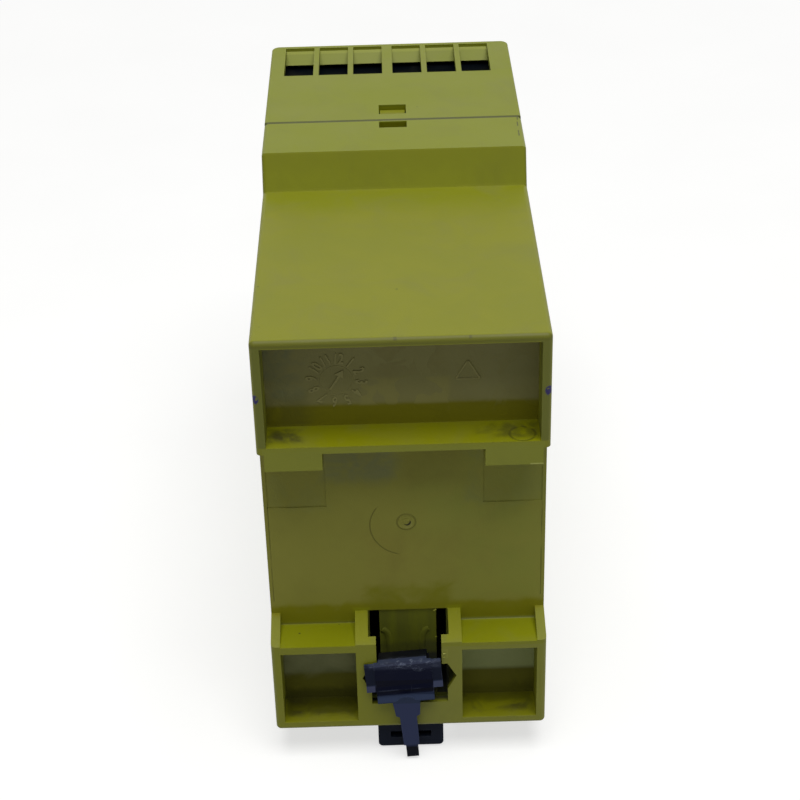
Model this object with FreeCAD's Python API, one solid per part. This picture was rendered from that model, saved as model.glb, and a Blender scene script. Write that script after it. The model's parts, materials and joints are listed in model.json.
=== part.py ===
import FreeCAD, Part
import math
import os
from FreeCAD import Vector

# Safety relay in a 45 mm wide housing for a 35 mm top-hat rail, in millimetres.
# X runs across the width, Y from the rail towards the front, Z up as mounted.
# The origin is the middle of the face that rests on the rail.

# Housing
width = 45.0
rear_height = 75.0
front_step = 6.0
rim_depth = 6.3
facet_start = 45.0
facet_run = 2.7
part_line = 60.4
shoulder_front = 97.0
nose_front = 114.7
nose_height = 45.0
wall = 1.5
front_wall = 1.3
facet_wall_shift = 0.9
edge_radius = 0.8
front_edge_radius = 0.4
front_corner_radius = 1.5
part_gap = 0.2
part_chamfer = 0.2
lip_length = 3.4
lip_thickness = 1.2
lip_clearance = 0.2

# Rail seat, hooks and foot
rail_height = 35.0
rail_clearance = 0.1
rail_lip_space = 1.6
hook_inner = 12.5
hook_end_gap = 1.1
hook_drop = 3.0
hook_lead = 0.8
relief_depth = 0.15
relief_margin = 0.6
relief_low = 3.4
rim_edge = 1.3
rim_web = 1.2
pocket_wall = 1.5
foot_ramp = 2.2
foot_ledge_drop = 2.4
foot_rib = 1.4
foot_rim = 1.6
strip_outer = 8.7
channel_half = 6.6
channel_plate = 1.5
channel_recess = 0.3
groove_inner = 4.7
groove_outer = 6.35
gate_half_top = 6.4
gate_step = 1.2
gate_half_narrow = 5.35
gate_narrow_low = 24.2
gate_half_wide = 6.3
notch_half = 7.75
notch_level = 26.8
notch_low = 29.6
gate_low = 32.3

# Latch
latch_clearance = 0.2
latch_travel = 9.0
latch_tilt = 4.2
latch_shift = -0.9
latch_grip = 3.5
head_half = 4.7
head_height = 7.55
head_proud = 1.0
head_chamfer = 0.35
head_tip = 1.4
head_lead = 2.2
claw_half = 4.0
claw_gap = 0.3
ear_half = 6.3
ear_drop = 0.15
ear_height = 5.1
ear_thickness = 0.6
ear_foot = 1.1
flange_height = 1.3
flange_lip = 0.2
flange_proud = 1.7
boss_radius = 2.0
boss_drop = 1.0
neck_half = 2.3
neck_low_half = 2.0
neck_length = 3.25
neck_taper = 0.3
tongue_half = 1.4
tongue_low_half = 1.28
tongue_thickness = 1.2
tongue_length = 9.45
tip_half = 1.0
tip_length = 2.85
tip_step = 0.35
bar_half = 5.5
bar_thickness = 2.6
bar_bottom = 43.1
bar_slot_width = 6.9
bar_slot_height = 1.3
bar_slot_level = 40.6
bar_neck_half = 3.4

# Snap joints between the two housings
snap_half = 2.4
snap_front_start = 2.7
snap_front_length = 4.0
snap_rear_start = 3.3
snap_rear_length = 2.6
snap_tongue_thickness = 1.4
snap_clearance = 0.3
snap_nub = 1.3
snap_recess = 0.9
lip_snap_recess = 1.1
snap_root = 8.4
snap_root_length = 2.0

# Wire windows and terminals
terminal_count = 6
terminal_margin_left = 2.7
terminal_margin_right = 4.0
terminal_mid_extra = 0.9
window_rib = 1.0
window_length = 13.7
ramp_drop = 0.6
ramp_run = 2.0
block_clearance = 0.2
block_recess = 3.5
block_depth = 14.9
block_height = 14.0
block_front_gap = 0.3
chamber_step = 0.3
chamber_start = 2.0
chamber_length = 6.8
chamber_floor = 0.8
clamp_clearance = 0.1
clamp_height = 8.0
clamp_wall = 0.6
clamp_nut_wall = 1.1
screw_level = 31.0
screw_shank = 1.25
screw_head = 2.0
screw_head_height = 2.0
screw_head_gap = 1.9
screw_running = 0.05
screw_reach = 2.6
screw_slot = 0.8
screw_slot_depth = 0.9
screw_bore = 2.25
screw_sides = 10
access_radius = 2.5
tab_width = 3.0
tab_thickness = 0.8
tab_clearance = 0.2

# Boards
board_thickness = 1.6
board_clearance = 0.3
board_side_gap = 2.0
terminal_board_back = 68.0
main_board_end = 66.0
header_height = 2.5
header_length = 8.0
header_half = 15.0

# Relays
relay_count = 3
relay_height = 13.5
relay_length = 29.0
relay_width = 13.0
relay_pitch = 14.5
relay_start = 8.0
relay_radius = 0.6

# Transformer
core_height = 14.5
core_length = 30.0
core_width = 25.0
core_limb = 5.0
coil_gap = 0.2
coil_overhang = 1.0
transformer_start = 6.0
transformer_gap = 1.0

# Capacitors and small components
capacitor_radius = 8.0
capacitor_length = 16.0
capacitor_y = 44.6
capacitor_z = 22.0
small_capacitor_radius = 3.2
small_capacitor_length = 11.0
small_capacitor_pitch = 8.5
small_capacitor_y = 44.0
small_capacitor_z = -4.0
film_length = 18.0
film_width = 6.0
film_height = 11.0
film_y = 10.0
film_z = -14.0
varistor_radius = 5.0
varistor_thickness = 4.0
varistor_y = 46.0
varistor_z = -24.0
fuse_radius = 2.6
fuse_length = 20.0
fuse_y = 12.0
fuse_z = -26.0
chip_length = 9.0
chip_width = 6.4
chip_height = 3.4
chip_pitch = 11.0
chip_count = 4
chip_y = 56.0
controller_side = 12.0
controller_height = 1.6
resistor_height = 0.7
resistor_width = 3.2
resistor_length = 6.4
resistor_pitch = 4.0
resistor_count = 6
resistor_y = 34.0
lead_gap = 0.1

# Indicators
indicator_margin = 7.5
indicator_pitch = 8.0
led_width = 3.0
led_depth = 2.0
led_height = 1.9
guide_radius = 1.4
guide_gap = 0.2
guide_clearance = 0.1
guide_proud = 0.2

half_width = width / 2
half_rear = rear_height / 2
half_front = half_rear + front_step
half_rail = rail_height / 2 + rail_clearance
half_nose = nose_height / 2
facet_end = facet_start + facet_run
inner_half = half_width - wall
inner_front = shoulder_front - front_wall
pocket_half = half_width - pocket_wall
hook_outer = half_width - hook_end_gap
latch_top = half_rail - latch_grip + latch_travel
relief_outer = half_width - relief_margin
board_side = inner_half - board_side_gap
indicator_x = indicator_margin - half_width
terminal_room = width - terminal_margin_left - terminal_margin_right - terminal_mid_extra
terminal_pitch = (terminal_room + window_rib) / terminal_count
terminal_offset = (terminal_margin_left - terminal_margin_right) / 2
window_width = terminal_pitch - window_rib
chamber_width = window_width - 2 * chamber_step


def box(x0, x1, y0, y1, z0, z1):
    return Part.makeBox(x1 - x0, y1 - y0, z1 - z0, Vector(x0, y0, z0))


def side_profile(points, x0, x1):
    # closed outline in the Y-Z plane, drawn out along X
    corners = [Vector(x0, y, z) for y, z in points]
    wire = Part.makePolygon(corners + [corners[0]])
    return Part.Face(wire).extrude(Vector(x1 - x0, 0, 0))


def back_profile(points, y0, y1):
    # closed outline in the X-Z plane, drawn out along Y
    corners = [Vector(x, y0, z) for x, z in points]
    wire = Part.makePolygon(corners + [corners[0]])
    return Part.Face(wire).extrude(Vector(0, y1 - y0, 0))


def rod_x(x0, x1, y, z, radius):
    return Part.makeCylinder(radius, x1 - x0, Vector(x0, y, z), Vector(1, 0, 0))


def rod_y(x, y0, y1, z, radius):
    return Part.makeCylinder(radius, y1 - y0, Vector(x, y0, z), Vector(0, 1, 0))


def rod_z(x, y, z0, z1, radius):
    return Part.makeCylinder(radius, z1 - z0, Vector(x, y, z0), Vector(0, 0, 1))


def mirror_z(shape):
    return shape.mirror(Vector(0, 0, 0), Vector(0, 0, 1))


def mirror_x(shape):
    return shape.mirror(Vector(0, 0, 0), Vector(1, 0, 0))


def both_sides(shape):
    return [shape, mirror_x(shape)]


def both_ends(shape):
    return [shape, mirror_z(shape)]


def round_edges(shape, radius, wanted):
    return shape.makeFillet(radius, [e for e in shape.Edges if wanted(e)])


def save(name, shape):
    if isinstance(shape, list):
        shape = Part.makeCompound(shape)
    shape.exportStep("parts/" + name + ".step")


def stepped_outline(inset):
    # side outline of the rear housing, drawn in by the wall where inset is 1
    shift = facet_wall_shift * inset
    low = half_rear - wall * inset
    high = half_front - wall * inset
    y0 = wall if inset else -rim_depth
    y1 = part_line + wall * inset
    upper = [(y0, low), (facet_start + shift, low), (facet_end + shift, high), (y1, high)]
    return upper + [(y, -z) for y, z in reversed(upper)]


def gate_outline():
    # opening in the plate over the latch, with a notch at each side
    right = [
        (gate_half_top, -half_rail + rim_web),
        (gate_half_top, -half_rail - gate_step),
        (gate_half_narrow, -half_rail - gate_step),
        (gate_half_narrow, -gate_narrow_low),
        (gate_half_wide, -gate_narrow_low),
        (notch_half, -notch_level),
        (gate_half_wide, -notch_low),
        (gate_half_wide, -gate_low),
    ]
    return right + [(-x, z) for x, z in reversed(right)]


def rear_housing():
    outer = side_profile(stepped_outline(0), -half_width, half_width)

    def rounded(edge):
        # the slanted facets keep sharp edges across the width
        across = edge.BoundBox.XLength > half_width
        return edge.BoundBox.YMin < part_line - edge_radius and not (across and edge.BoundBox.YMin > 0)

    body = round_edges(outer, edge_radius, rounded)
    body = body.makeChamfer(part_chamfer, [e for e in body.Edges if e.BoundBox.YMin > part_line - 0.01])
    body = body.cut(side_profile(stepped_outline(1), -inner_half, inner_half))

    # slot across the back for the rail
    seat = box(-width, width, -2 * rim_depth, 0, -half_rail, half_rail)
    cuts = [seat]

    # open pocket above the rail, framed by the rim
    top = half_rear - rim_edge
    low = half_rail + rim_web
    cuts.append(box(-pocket_half, pocket_half, -2 * rim_depth, 0, low, top))

    # shallow relief on the seat behind each hook
    relief = box(hook_inner, relief_outer, -relief_depth, relief_depth, relief_low, half_rail)
    cuts += both_sides(relief)

    # ramp from the seat to the foot
    ramp = side_profile(
        [(0, -half_rail), (-2 * rim_depth, -half_rail), (-2 * rim_depth, -half_rail - foot_ramp),
         (-rim_depth, -half_rail - foot_ramp)], -width, width)
    cuts.append(ramp)

    # ledges and pockets at the sides of the foot
    ledge = -half_rail - foot_ledge_drop
    foot_low = -half_rear + foot_rim
    step_cut = box(strip_outer, pocket_half, -2 * rim_depth, 0, ledge, -half_rail)
    pocket = box(strip_outer, pocket_half, -2 * rim_depth, 0, foot_low, ledge - foot_rib)
    cuts += both_sides(step_cut)
    cuts += both_sides(pocket)

    # channel for the latch behind its plate, and the gate in the plate
    plate_back = -rim_depth + channel_plate
    cuts.append(box(-channel_half, channel_half, plate_back, channel_recess, -height_cut(), -half_rail))
    cuts.append(back_profile(gate_outline(), -2 * rim_depth, 0))
    # slots that free the tongue-like floor of the channel at its sides
    groove = box(groove_inner, groove_outer, 0, 2 * wall, -half_rear + foot_rim, -half_rail)
    cuts += both_sides(groove)

    # window for the snap on the front housing's lip
    win_end = part_line - snap_rear_start + snap_rear_length
    window = box(-snap_half, snap_half, part_line - snap_rear_start, win_end,
                 half_front - 2 * wall, half_front + wall)
    cuts += both_ends(window)
    body = body.cut(cuts)

    # hooks that take the upper edge of the rail
    hook = side_profile(
        [(-rim_depth, half_rail + rim_web / 2), (-rail_lip_space, half_rail + rim_web / 2),
         (-rail_lip_space, half_rail - hook_drop + hook_lead),
         (-rail_lip_space - hook_lead, half_rail - hook_drop),
         (-rim_depth, half_rail - hook_drop)], hook_inner, hook_outer)
    adds = both_sides(hook)

    # snap tongue that reaches under the front housing
    tongue_top = half_front - wall - lip_clearance - lip_thickness - snap_clearance
    tongue_low = tongue_top - snap_tongue_thickness
    root_y = part_line - snap_root
    nub_end = part_line + snap_front_start + snap_front_length - snap_clearance
    nub_start = nub_end - snap_tongue_thickness
    reach = snap_half - lip_clearance
    root = box(-reach, reach, root_y, root_y + snap_root_length, tongue_low, half_front - wall / 2)
    arm = box(-reach, reach, root_y, nub_end, tongue_low, tongue_top)
    nub = side_profile(
        [(nub_start - snap_nub, tongue_top), (nub_end, tongue_top),
         (nub_end, half_front - snap_recess), (nub_start, half_front - snap_recess)],
        -reach, reach)
    for piece in (root, arm, nub):
        adds += both_ends(piece)
    return body.fuse(adds).removeSplitter()


def height_cut():
    return half_rear + wall


def terminal_positions():
    places = []
    for i in range(terminal_count):
        offset = (i - (terminal_count - 1) / 2) * terminal_pitch
        offset += math.copysign(terminal_mid_extra / 2, offset)
        places.append(terminal_offset + offset)
    return places


def front_housing():
    y0 = part_line + part_gap
    box_part = box(-half_width, half_width, y0, shoulder_front, -half_front, half_front)
    nose = box(-half_width, half_width, shoulder_front - wall, nose_front, -half_nose, half_nose)
    outer = box_part.fuse(nose).removeSplitter()

    def upright(edge):
        # corners seen from the side of the terminals
        b = edge.BoundBox
        return b.XLength < 0.01 and b.YLength < 0.01 and b.YMin > y0 + edge_radius and b.ZMin * b.ZMax > 0

    def others(edge):
        # all the rest but the inside corner where the nose starts
        b = edge.BoundBox
        inside = b.ZLength < 0.01 and abs(abs(b.ZMin) - half_nose) < 0.01 and b.YMax < shoulder_front + 0.01
        return b.YMax > y0 + edge_radius and not inside

    body = round_edges(outer, front_corner_radius, upright)
    body = round_edges(body, front_edge_radius, others)
    body = body.makeChamfer(part_chamfer, [e for e in body.Edges if e.BoundBox.YMax < y0 + 0.01])
    cavity = box(-inner_half, inner_half, y0 - wall, inner_front, -half_front + wall, half_front - wall)
    nose_cavity = box(-inner_half, inner_half, inner_front - wall, nose_front - wall,
                      -half_nose + wall, half_nose - wall)
    cuts = [cavity.fuse(nose_cavity)]
    for x in terminal_positions():
        window = side_profile(
            [(inner_front - window_length, half_front + wall), (inner_front, half_front + wall),
             (inner_front, half_front - ramp_drop),
             (inner_front - 2 * wall + ramp_drop, half_front - 2 * wall),
             (inner_front - window_length, half_front - 2 * wall)],
            x - window_width / 2, x + window_width / 2)
        cuts += both_ends(window)
        cuts += both_ends(rod_y(x, inner_front - wall, shoulder_front + wall, screw_level, access_radius))
    snap_y = part_line + snap_front_start
    snap_window = box(-snap_half, snap_half, snap_y, snap_y + snap_front_length,
                      half_front - 2 * wall, half_front + wall)
    cuts += both_ends(snap_window)
    for i in (-1, 0, 1):
        cuts.append(rod_y(indicator_x, nose_front - 2 * wall, nose_front + wall,
                          i * indicator_pitch, guide_radius + guide_clearance))
    body = body.cut(cuts)

    # ramp below each row of windows, which leads the wires in
    lid = half_front - wall
    foot = half_front - ramp_drop - ramp_run
    ramp = side_profile(
        [(inner_front + wall / 2, lid), (inner_front - wall + ramp_drop, lid),
         (inner_front - ramp_run, foot), (inner_front + wall / 2, foot)],
        -inner_half - wall / 2, inner_half + wall / 2)

    # lip that enters the rear housing, with a nub for each of its snap windows
    lip_half = inner_half - lip_clearance
    lip_high = half_front - wall - lip_clearance
    lip_y = part_line - lip_length
    ring = box(-lip_half, lip_half, lip_y, y0 + wall, -lip_high, lip_high)
    hole = box(-lip_half + lip_thickness, lip_half - lip_thickness, lip_y - wall, y0 + 2 * wall,
               -lip_high + lip_thickness, lip_high - lip_thickness)
    shelf = box(-inner_half - wall / 2, inner_half + wall / 2, y0, y0 + wall,
                -half_front + wall / 2, half_front - wall / 2)
    lip = ring.fuse(shelf).cut(hole)
    nub_y = part_line - snap_rear_start + lip_clearance
    nub_reach = snap_half - lip_clearance
    nub_end = nub_y + snap_rear_length - 2 * lip_clearance
    nub = side_profile(
        [(nub_y, lip_high - lip_thickness / 2), (nub_end, lip_high - lip_thickness / 2),
         (nub_end, half_front - lip_snap_recess), (nub_y + lip_thickness, half_front - lip_snap_recess),
         (nub_y, lip_high + part_gap)], -nub_reach, nub_reach)
    return body.fuse([lip] + both_ends(ramp) + both_ends(nub)).removeSplitter()


def rail_latch():
    plate_y = -rim_depth
    head_y = plate_y - head_proud
    ear_y = plate_y - latch_clearance
    flange_y = plate_y - flange_proud
    claw_y = -rail_lip_space + claw_gap
    top = -latch_top
    low = top - head_height

    # head in front of the plate, and the claw that passes through the gate
    head = side_profile(
        [(head_y + head_chamfer, top), (ear_y, top), (ear_y, low), (head_y, low),
         (head_y, top - head_chamfer)], -head_half, head_half)
    claw = side_profile(
        [(ear_y, top), (head_y + head_tip, top), (claw_y, top - head_lead), (claw_y, low),
         (ear_y, low)], -claw_half, claw_half)

    # ears with a sloped foot, and the flange that a screwdriver pushes on
    ear_top = top - ear_drop
    ear_low = ear_top - ear_height
    ear_front = ear_y - ear_thickness
    ear = side_profile(
        [(ear_y, ear_top), (ear_front + head_chamfer, ear_top), (ear_front, ear_top - head_chamfer),
         (ear_front, ear_low + ear_foot), (ear_front - ear_foot / 2, ear_low), (ear_y, ear_low)],
        -ear_half, ear_half)
    flange = side_profile(
        [(head_y, low + flange_height), (flange_y, low + flange_lip), (flange_y, low),
         (ear_y, low), (ear_y, low + flange_height)], -head_half, head_half)

    # neck with a round boss, the tongue and its tip
    shoulder = low - neck_length + neck_taper
    tongue_end = low - tongue_length
    right = [(neck_half, low + flange_lip), (neck_low_half, shoulder), (tongue_half, low - neck_length),
             (tongue_low_half, tongue_end)]
    left = [(-x, z) for x, z in reversed(right)]
    neck = back_profile(right + left, flange_y, flange_y + tongue_thickness)
    boss = rod_y(0, flange_y, flange_y + tongue_thickness, low - boss_drop, boss_radius)
    tip = box(-tip_half, tip_half, flange_y + tip_step, flange_y + tongue_thickness + tip_step,
              tongue_end - tip_length, tongue_end + tip_step)
    upper = head.fuse([claw, ear, flange, neck, boss, tip]).removeSplitter()

    # parked a little askew, as found
    upper.rotate(Vector(0, 0, top - head_height / 2), Vector(0, -1, 0), latch_tilt)
    upper.translate(Vector(latch_shift, 0, 0))

    # web and slotted bar in the channel
    bar_y = plate_y + channel_plate + latch_clearance
    web = box(-bar_neck_half, bar_neck_half, bar_y, claw_y, -half_rear + foot_rim, low + head_half)
    bar = box(-bar_half, bar_half, bar_y, bar_y + bar_thickness, -bar_bottom, -half_rear - part_gap)
    bar = round_edges(bar, edge_radius, lambda e: abs(e.BoundBox.ZMin + bar_bottom) < 0.01
                      and e.BoundBox.YLength > bar_thickness / 2)
    slot = box(-bar_slot_width / 2, bar_slot_width / 2, bar_y - wall, bar_y + bar_thickness / 2,
               -bar_slot_level - bar_slot_height / 2, -bar_slot_level + bar_slot_height / 2)
    stem = box(-bar_neck_half, bar_neck_half, bar_y, bar_y + bar_thickness,
               -bar_slot_level + bar_slot_height, -half_rear + 2 * foot_rim)
    lower = web.fuse([bar.cut(slot), stem]).removeSplitter()
    return upper.fuse(lower).removeSplitter()


def block_front():
    return inner_front - block_front_gap


def chamber_back():
    return block_front() - block_depth + chamber_start


def terminal_block():
    top = half_front - block_recess
    y1 = block_front()
    y0 = y1 - block_depth
    reach = inner_half - block_clearance
    body = box(-reach, reach, y0, y1, top - block_height, top)
    cuts = []
    for x in terminal_positions():
        c = chamber_width / 2
        floor = top - block_height + chamber_floor
        cuts.append(box(x - c, x + c, chamber_back(), chamber_back() + chamber_length, floor, top + wall))
        cuts.append(box(x - screw_bore, x + screw_bore, chamber_back() + chamber_length / 2, y1 + wall,
                        screw_level - screw_bore, screw_level + screw_bore))
        t = tab_width / 2 + tab_clearance
        h = tab_thickness / 2 + tab_clearance
        cuts.append(box(x - t, x + t, y0 - wall, chamber_back() + wall, screw_level - h, screw_level + h))
    return body.cut(cuts)


def clamp(x):
    half = chamber_width / 2 - clamp_clearance
    y0 = chamber_back() + clamp_clearance
    y1 = chamber_back() + chamber_length - clamp_clearance
    z0 = half_front - block_recess - block_height + chamber_floor + clamp_clearance
    shell = box(x - half, x + half, y0, y1, z0, z0 + clamp_height)
    inner = box(x - half + clamp_wall, x + half - clamp_wall, y0 + clamp_wall, y1 - clamp_nut_wall,
                z0 - wall, z0 + clamp_height + wall)
    hole = shank_shape(x, y1 - 2 * clamp_nut_wall, y1 + wall, screw_shank + screw_running)
    return shell.cut([inner, hole])


def shank_shape(x, y0, y1, radius):
    # a few flat sides are enough for what the terminal hides
    corners = []
    for i in range(screw_sides + 1):
        turn = 2 * math.pi * i / screw_sides
        corners.append(Vector(x + radius * math.cos(turn), y0, screw_level + radius * math.sin(turn)))
    return Part.Face(Part.makePolygon(corners)).extrude(Vector(0, y1 - y0, 0))


def screw(x):
    head_y = chamber_back() + chamber_length + screw_head_gap
    tip_y = head_y - screw_head_gap - clamp_nut_wall - screw_reach
    shank = shank_shape(x, tip_y, head_y + screw_slot_depth / 2, screw_shank)
    head = rod_y(x, head_y, head_y + screw_head_height, screw_level, screw_head)
    face = head_y + screw_head_height
    slot = box(x - screw_slot / 2, x + screw_slot / 2, face - screw_slot_depth, face + wall,
               screw_level - 2 * screw_head, screw_level + 2 * screw_head)
    return shank.fuse(head).cut(slot)


def tab(x):
    y0 = terminal_board_back + board_thickness
    y1 = chamber_back() + clamp_clearance / 2
    return box(x - tab_width / 2, x + tab_width / 2, y0, y1, screw_level - tab_thickness / 2,
               screw_level + tab_thickness / 2)


def terminal_board():
    reach = inner_half - board_clearance
    high = half_front - wall - board_clearance
    return box(-reach, reach, terminal_board_back, terminal_board_back + board_thickness, -high, high)


def side_board():
    high = half_rear - wall - board_clearance
    return box(-board_side, -board_side + board_thickness, wall + board_clearance, main_board_end,
               -high, high)


def board_face():
    return board_side - board_thickness


def header():
    x0 = -board_face()
    return box(x0, x0 + header_height, terminal_board_back - header_length, terminal_board_back,
               -header_half, header_half)


def relay(i):
    z = (i - (relay_count - 1) / 2) * relay_pitch
    x1 = board_face()
    body = box(x1 - relay_height, x1, relay_start, relay_start + relay_length, z - relay_width / 2,
               z + relay_width / 2)
    return round_edges(body, relay_radius, lambda e: e.BoundBox.XMax < x1 - relay_radius / 2)


def transformer_core():
    x0 = -board_face()
    y0 = transformer_start
    z = half_rear - wall - transformer_gap - core_width
    body = box(x0, x0 + core_height, y0, y0 + core_length, z, z + core_width)
    opening = (core_length - 3 * core_limb) / 2
    cuts = []
    for i in (0, 1):
        y = y0 + core_limb + i * (opening + core_limb)
        cuts.append(box(x0 - wall, x0 + core_height + wall, y, y + opening, z + core_limb,
                        z + core_width - core_limb))
    return body.cut(cuts)


def transformer_coil():
    x0 = -board_face()
    y0 = transformer_start
    z = half_rear - wall - transformer_gap - core_width
    opening = (core_length - 3 * core_limb) / 2
    z0 = z + core_limb + coil_gap
    z1 = z + core_width - core_limb - coil_gap
    y_in = y0 + core_limb + coil_gap
    y_out = y0 + core_length - core_limb - coil_gap
    outer = box(x0 + coil_gap, x0 + core_height + coil_overhang, y_in, y_out, z0, z1)
    limb_y = y0 + core_limb + opening
    limb = box(x0 - wall, x0 + core_height + coil_gap, limb_y - coil_gap, limb_y + core_limb + coil_gap,
               z0 - wall, z1 + wall)
    return outer.cut(limb)


def capacitor():
    x0 = -board_face()
    can = rod_x(x0, x0 + capacitor_length, capacitor_y, capacitor_z, capacitor_radius)
    rim = [e for e in can.Edges if e.BoundBox.XMin > x0 + wall and e.BoundBox.XLength < wall]
    return can.makeChamfer(relay_radius, rim)


def small_capacitor(i):
    x0 = -board_face()
    z = small_capacitor_z + (i - 0.5) * small_capacitor_pitch
    return rod_x(x0, x0 + small_capacitor_length, small_capacitor_y, z, small_capacitor_radius)


def film_capacitor():
    x0 = -board_face()
    return box(x0, x0 + film_height, film_y, film_y + film_length, film_z - film_width / 2,
               film_z + film_width / 2)


def varistor():
    x0 = -board_face() + lead_gap
    return rod_z(x0 + varistor_radius, varistor_y, varistor_z - varistor_thickness / 2,
                 varistor_z + varistor_thickness / 2, varistor_radius)


def fuse_link():
    x = -board_face() + lead_gap + fuse_radius
    return rod_y(x, fuse_y, fuse_y + fuse_length, fuse_z, fuse_radius)


def coupler(i):
    x0 = -board_face()
    z = (i - (chip_count - 1) / 2) * chip_pitch
    return box(x0, x0 + chip_height, chip_y - chip_width / 2, chip_y + chip_width / 2,
               z - chip_length / 2, z + chip_length / 2)


def controller():
    y0 = terminal_board_back + board_thickness
    half = controller_side / 2
    return box(-half, half, y0, y0 + controller_height, -half, half)


def resistor(i):
    x0 = -board_face()
    z = film_z + (i - 1) * resistor_pitch
    return box(x0, x0 + resistor_height, resistor_y, resistor_y + resistor_length,
               z - resistor_width / 2, z + resistor_width / 2)


def led(i):
    y0 = terminal_board_back + board_thickness
    z = i * indicator_pitch
    return box(indicator_x - led_width / 2, indicator_x + led_width / 2, y0, y0 + led_height,
               z - led_depth / 2, z + led_depth / 2)


def light_guide(i):
    y0 = terminal_board_back + board_thickness + led_height + guide_gap
    return rod_y(indicator_x, y0, nose_front + guide_proud, i * indicator_pitch, guide_radius)


save("rear_housing", rear_housing())
save("front_housing", front_housing())
save("rail_latch", rail_latch())
save("terminal_block_top", terminal_block())
save("terminal_block_bottom", mirror_z(terminal_block()))
places = terminal_positions()
save("terminal_clamps_top", [clamp(x) for x in places])
save("terminal_clamps_bottom", [mirror_z(clamp(x)) for x in places])
save("terminal_screws_top", [screw(x) for x in places])
save("terminal_screws_bottom", [mirror_z(screw(x)) for x in places])
save("terminal_tabs_top", [tab(x) for x in places])
save("terminal_tabs_bottom", [mirror_z(tab(x)) for x in places])
save("terminal_board", terminal_board())
save("main_board", side_board())
save("relay_board", mirror_x(side_board()))
save("main_header", header())
save("relay_header", mirror_x(header()))
for i, name in enumerate(("relay_low", "relay_middle", "relay_high")):
    save(name, relay(i))
save("transformer_core", transformer_core())
save("transformer_coil", transformer_coil())
save("smoothing_capacitor", capacitor())
save("small_capacitors", [small_capacitor(i) for i in (0, 1)])
save("film_capacitor", film_capacitor())
save("varistor", varistor())
save("fuse_link", fuse_link())
save("optocouplers", [coupler(i) for i in range(chip_count)])
save("controller_chip", controller())
save("resistors", [resistor(i) for i in range(resistor_count)])
save("indicator_leds", [led(i) for i in (-1, 0, 1)])
save("light_guides", [light_guide(i) for i in (-1, 0, 1)])
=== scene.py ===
import json
import math
import random

import bmesh
import bpy
from mathutils import Matrix, Vector
from mathutils import noise as lumps


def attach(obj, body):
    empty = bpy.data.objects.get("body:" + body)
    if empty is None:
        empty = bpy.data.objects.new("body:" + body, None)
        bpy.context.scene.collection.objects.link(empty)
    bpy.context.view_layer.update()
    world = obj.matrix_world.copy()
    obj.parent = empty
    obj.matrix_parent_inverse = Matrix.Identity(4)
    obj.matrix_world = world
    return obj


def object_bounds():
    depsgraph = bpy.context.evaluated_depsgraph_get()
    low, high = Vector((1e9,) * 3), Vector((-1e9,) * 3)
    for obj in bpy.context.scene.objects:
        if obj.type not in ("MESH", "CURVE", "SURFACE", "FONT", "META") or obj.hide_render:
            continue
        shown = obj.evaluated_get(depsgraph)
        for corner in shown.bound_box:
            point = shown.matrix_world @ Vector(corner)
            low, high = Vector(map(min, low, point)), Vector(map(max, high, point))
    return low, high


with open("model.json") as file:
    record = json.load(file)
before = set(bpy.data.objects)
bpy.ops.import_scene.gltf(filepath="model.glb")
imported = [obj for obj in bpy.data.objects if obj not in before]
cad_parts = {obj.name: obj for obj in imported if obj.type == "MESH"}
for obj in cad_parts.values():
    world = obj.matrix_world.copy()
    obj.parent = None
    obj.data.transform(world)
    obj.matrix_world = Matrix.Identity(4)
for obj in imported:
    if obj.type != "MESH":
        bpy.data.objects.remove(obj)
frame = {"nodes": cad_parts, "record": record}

cad_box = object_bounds()
rng = random.Random(35)
MM = 0.001


# Colours

def srgb(r, g, b):
    """A colour as read off a screen, 0 to 255, as the shader wants it."""
    def plain(c):
        c /= 255
        return c / 12.92 if c <= 0.04045 else ((c + 0.055) / 1.055) ** 2.4
    return (plain(r), plain(g), plain(b), 1.0)


OLIVE = srgb(131, 133, 29)
OLIVE_CLOUD = srgb(126, 129, 22)
OLIVE_FRONT = srgb(126, 133, 26)
OLIVE_WORN = srgb(152, 155, 72)
# painted shade: darker olive of the slanted facet
OLIVE_FACET_SHADE = srgb(118, 122, 5)
OLIVE_HOOK = srgb(133, 137, 42)
OLIVE_RIM = srgb(106, 110, 36)
# painted yellow bounce light on faces that look up out of hollows
OLIVE_BOUNCE_TINT = srgb(135, 137, 0)
OLIVE_SEAT = srgb(144, 142, 60)
# painted shade: darker olive of the recessed latch channel floor
OLIVE_PANEL_SHADE = srgb(102, 107, 16)
POCKET_FILM = srgb(142, 138, 87)
# painted yellow bounce light on the upper pocket floor by the ledge
POCKET_BOUNCE_TINT = srgb(120, 116, 1)
FOOT_FILM = srgb(120, 124, 82)
LATCH_BLUE = srgb(40, 49, 68)
# painted shade: the latch head's face
LATCH_FACE_SHADE = srgb(8, 13, 36)
# painted light: the tongue, lighter as if tilted up to the lamp
LATCH_TONGUE_LIT = srgb(56, 64, 96)
LATCH_WORN = srgb(104, 112, 132)
BLOCK_BLACK = srgb(5, 9, 14)
DUST = srgb(150, 146, 120)
GRIME = srgb(50, 48, 26)
LINE_DARK = srgb(70, 69, 12)
# painted shade: near-black inside the slots and the housing behind them
SLOT_SHADE = srgb(12, 14, 14)
INK = srgb(38, 30, 92)


# Shared effects

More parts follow.
